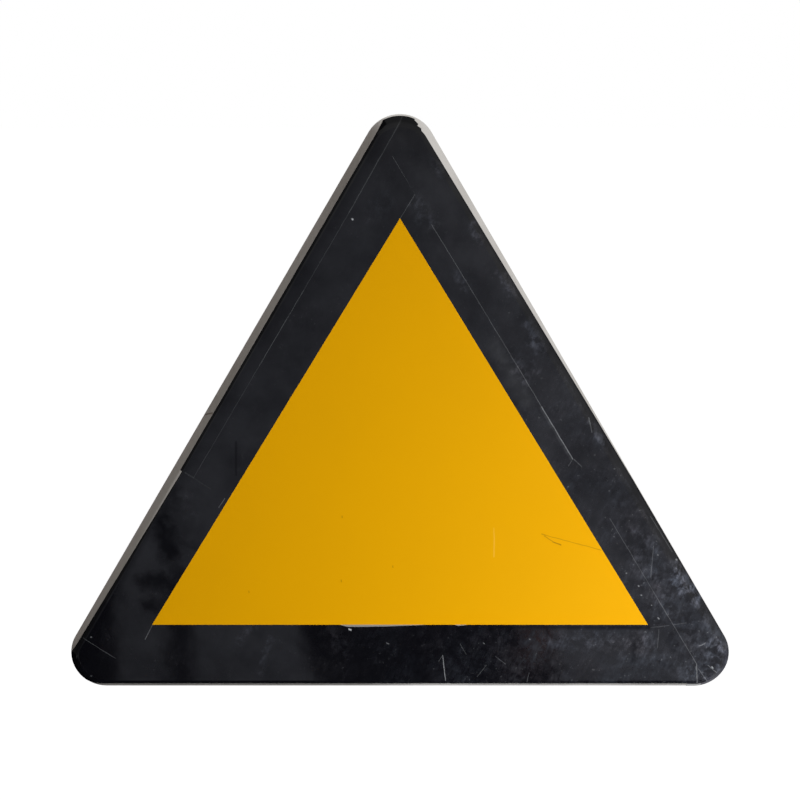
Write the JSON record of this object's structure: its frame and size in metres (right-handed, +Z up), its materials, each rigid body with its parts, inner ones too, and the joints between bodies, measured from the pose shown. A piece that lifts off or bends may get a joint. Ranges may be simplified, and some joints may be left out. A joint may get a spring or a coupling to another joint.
{
  "type": "warning sign",
  "caption": "Triangular warning sign: pressed aluminium pan with a yellow reflective face and black film border, on slotted rails with hoop clamps for a round post.",
  "frame": {"origin": "on the post's axis, at mid-height of the lower clamp", "axes": "+Z up along the post, the sign faces -Y, +X to the right of someone who looks at its face"},
  "size_m": [0.6494, 0.1082, 0.5717],
  "materials": {
    "panel_aluminium": "bare sheet, weathered",
    "yellow_film": "retroreflective sheeting",
    "black_film": "glossy film, scuffed",
    "rail_aluminium": "mill-finish extrusion",
    "rivet_aluminium": "bare",
    "galvanised_steel": "hot-dip galvanised",
    "zinc_plated_steel": "zinc plated"
  },
  "bodies": {
    "sign": {"sign_panel": "panel_aluminium", "yellow_sheet": "yellow_film", "left_edge_strip": "black_film", "left_upper_strip": "black_film", "left_lower_strip": "black_film", "right_inner_strip": "black_film", "right_outer_strip": "black_film", "bottom_strip": "black_film", "upper_rail": "rail_aluminium", "upper_rail_rivets": "rivet_aluminium", "lower_rail": "rail_aluminium", "lower_rail_rivets": "rivet_aluminium"},
    "upper_clamp": {"upper_saddle": "galvanised_steel", "upper_bolts": "zinc_plated_steel"},
    "upper_hoop": {"upper_strap": "galvanised_steel", "upper_flat_washers": "zinc_plated_steel", "upper_spring_washers": "zinc_plated_steel"},
    "upper_left_nut": {"upper_left_nut": "zinc_plated_steel"},
    "upper_right_nut": {"upper_right_nut": "zinc_plated_steel"},
    "lower_clamp": {"lower_saddle": "galvanised_steel", "lower_bolts": "zinc_plated_steel"},
    "lower_hoop": {"lower_strap": "galvanised_steel", "lower_flat_washers": "zinc_plated_steel", "lower_spring_washers": "zinc_plated_steel"},
    "lower_left_nut": {"lower_left_nut": "zinc_plated_steel"},
    "lower_right_nut": {"lower_right_nut": "zinc_plated_steel"}
  },
  "joints": [
    {"name": "upper_clamp_slide", "type": "slide", "parent": "sign", "child": "upper_clamp", "axis": [1, 0, 0], "range_m": [-0.05, 0.05]},
    {"name": "upper_strap_opening", "type": "slide", "parent": "upper_clamp", "child": "upper_hoop", "axis": [0, 1, 0], "range_m": [0, 0.008]},
    {"name": "upper_left_nut_turn", "type": "hinge", "parent": "upper_hoop", "child": "upper_left_nut", "pos_m": [-0.05541, 0.0166, 0.21], "axis": [0, 1, 0], "range_deg": [0, 1925]},
    {"name": "upper_right_nut_turn", "type": "hinge", "parent": "upper_hoop", "child": "upper_right_nut", "pos_m": [0.05541, 0.0166, 0.21], "axis": [0, 1, 0], "range_deg": [0, 1925]},
    {"name": "lower_clamp_slide", "type": "slide", "parent": "sign", "child": "lower_clamp", "axis": [1, 0, 0], "range_m": [-0.17, 0.17]},
    {"name": "lower_strap_opening", "type": "slide", "parent": "lower_clamp", "child": "lower_hoop", "axis": [0, 1, 0], "range_m": [0, 0.008]},
    {"name": "lower_left_nut_turn", "type": "hinge", "parent": "lower_hoop", "child": "lower_left_nut", "pos_m": [-0.05541, 0.0166, 0], "axis": [0, 1, 0], "range_deg": [0, 1925]},
    {"name": "lower_right_nut_turn", "type": "hinge", "parent": "lower_hoop", "child": "lower_right_nut", "pos_m": [0.05541, 0.0166, 0], "axis": [0, 1, 0], "range_deg": [0, 1925]}
  ],
  "couplings": [
    {"joint": "upper_left_nut_turn", "follows": "upper_strap_opening", "rad_per_m": 4188.8},
    {"joint": "upper_right_nut_turn", "follows": "upper_strap_opening", "rad_per_m": 4188.8},
    {"joint": "lower_left_nut_turn", "follows": "lower_strap_opening", "rad_per_m": 4188.8},
    {"joint": "lower_right_nut_turn", "follows": "lower_strap_opening", "rad_per_m": 4188.8}
  ]
}
